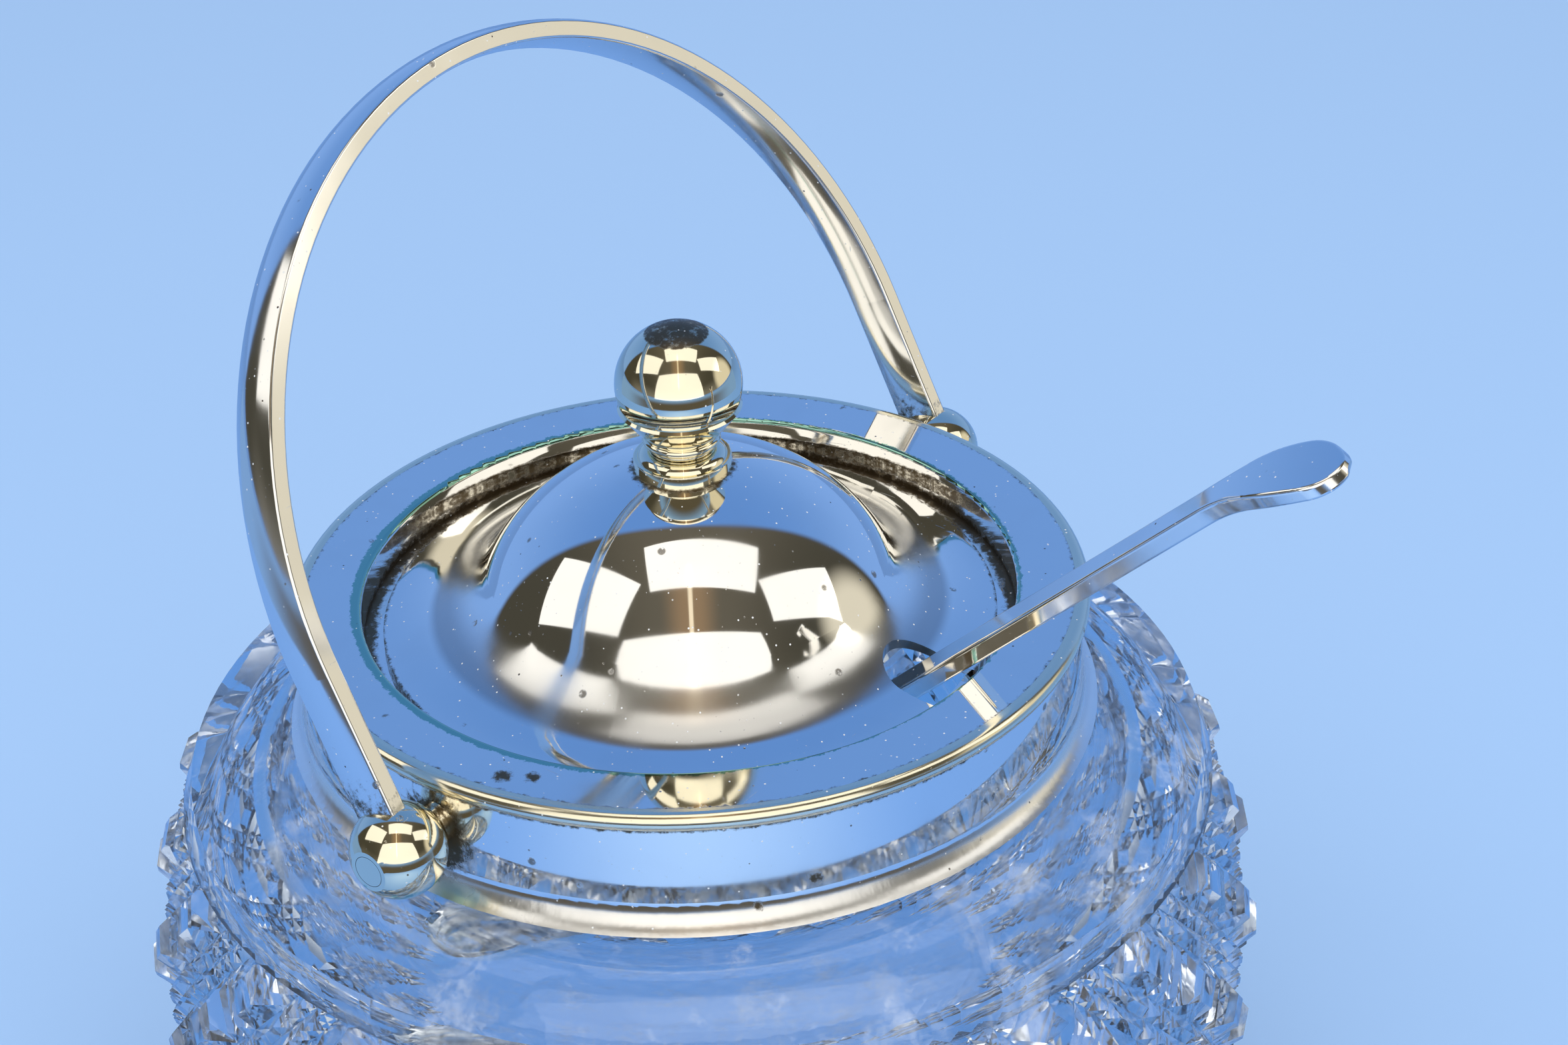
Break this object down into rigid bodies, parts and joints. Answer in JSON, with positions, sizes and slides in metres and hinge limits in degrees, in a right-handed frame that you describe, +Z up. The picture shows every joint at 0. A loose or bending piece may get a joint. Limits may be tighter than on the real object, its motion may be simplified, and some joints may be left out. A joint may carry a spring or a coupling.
{
  "type": "condiment pot",
  "caption": "Cut-glass preserve jar with a plated collar, arched swing handle on ball pivots, notched domed lid with a ball finial, and a plated spoon standing in it.",
  "frame": {"origin": "middle of the jar's flat base, on the table", "axes": "+Z up along the jar's axis; X along the handle's pivot axis; the spoon leans out towards -Y, and the handle leans towards +Y"},
  "size_m": [0.113, 0.123, 0.1304],
  "materials": {
    "cut_glass": "clear, polished, sharp mitre cuts",
    "plaster": "matt plaster of Paris",
    "silver_plate": "bright silver plate, lightly scratched and tarnished",
    "bare_brass": "turned, dull",
    "spoon_plate": "bright silver plate, worn on the edges"
  },
  "bodies": {
    "jar": {"glass_jar": "cut_glass", "plaster_bed": "plaster", "collar_band": "silver_plate", "rim_plate": "silver_plate", "rim_wire": "silver_plate", "pivot_pin_left": "silver_plate", "pivot_pin_right": "silver_plate", "pivot_washer_left": "silver_plate", "pivot_washer_right": "silver_plate"},
    "handle": {"handle_bow": "silver_plate", "handle_ball_left": "silver_plate", "handle_ball_right": "silver_plate"},
    "lid": {"lid_dome": "silver_plate", "finial": "silver_plate", "finial_stud": "bare_brass", "finial_nut": "bare_brass"},
    "spoon": {"spoon": "spoon_plate"}
  },
  "joints": [
    {"name": "handle_swing", "type": "hinge", "parent": "jar", "child": "handle", "pos_m": [0, 0, 0.07415], "axis": [1, 0, 0], "range_deg": [-78, 83]},
    {"name": "lid_lift", "type": "slide", "parent": "jar", "child": "lid", "axis": [0, 0, 1], "range_m": [0, 0.035]},
    {"name": "spoon_lift", "type": "slide", "parent": "jar", "child": "spoon", "axis": [0.0607, -0.7228, 0.6884], "range_m": [0, 0.03]}
  ]
}
